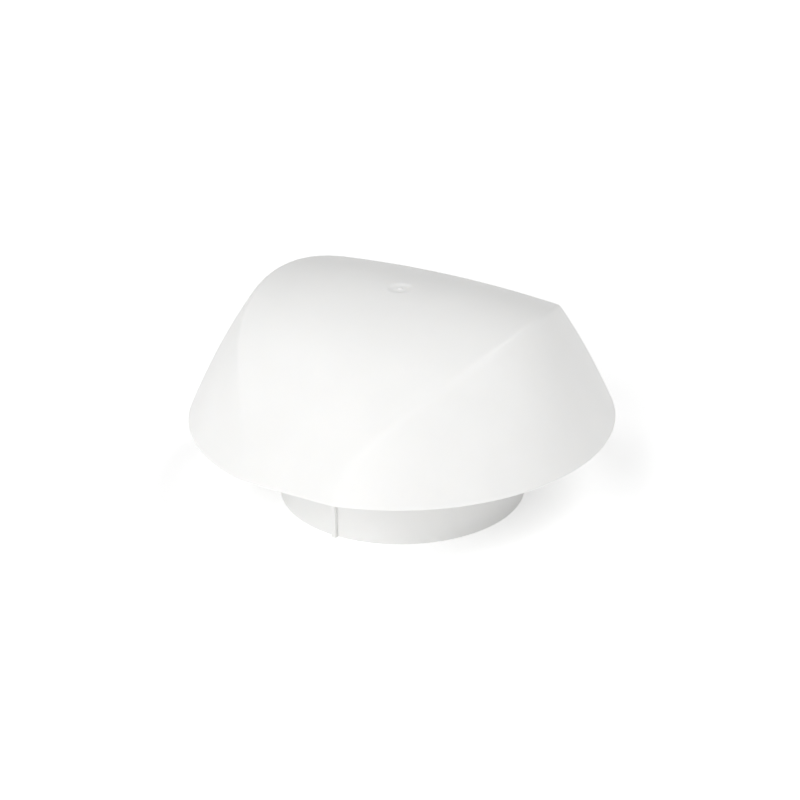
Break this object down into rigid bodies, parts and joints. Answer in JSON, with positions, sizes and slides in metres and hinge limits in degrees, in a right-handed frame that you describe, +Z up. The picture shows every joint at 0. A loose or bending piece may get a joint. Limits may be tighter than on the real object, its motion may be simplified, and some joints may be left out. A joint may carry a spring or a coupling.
{
  "type": "ventilation pipe cowl",
  "caption": "White plastic weather cowl: a round-rimmed hood with a ridged crown, held on arms above a plain collar that slips over a vertical ventilation pipe.",
  "frame": {"origin": "centre of the collar's lower end", "axes": "+Z up along the pipe, +X along the hood's ridge; the collar's key rib is at -Y"},
  "size_m": [0.2, 0.1942, 0.1024],
  "materials": {
    "hood_plastic": "satin white moulding",
    "collar_plastic": "satin white moulding",
    "screen_plastic": "matt white moulding",
    "stainless": "plain stainless"
  },
  "bodies": {
    "root": {"hood": "hood_plastic", "collar": "collar_plastic", "insect_screen": "screen_plastic", "hood_screw_1": "stainless", "hood_screw_2": "stainless", "hood_screw_3": "stainless", "hood_screw_4": "stainless"}
  },
  "joints": []
}
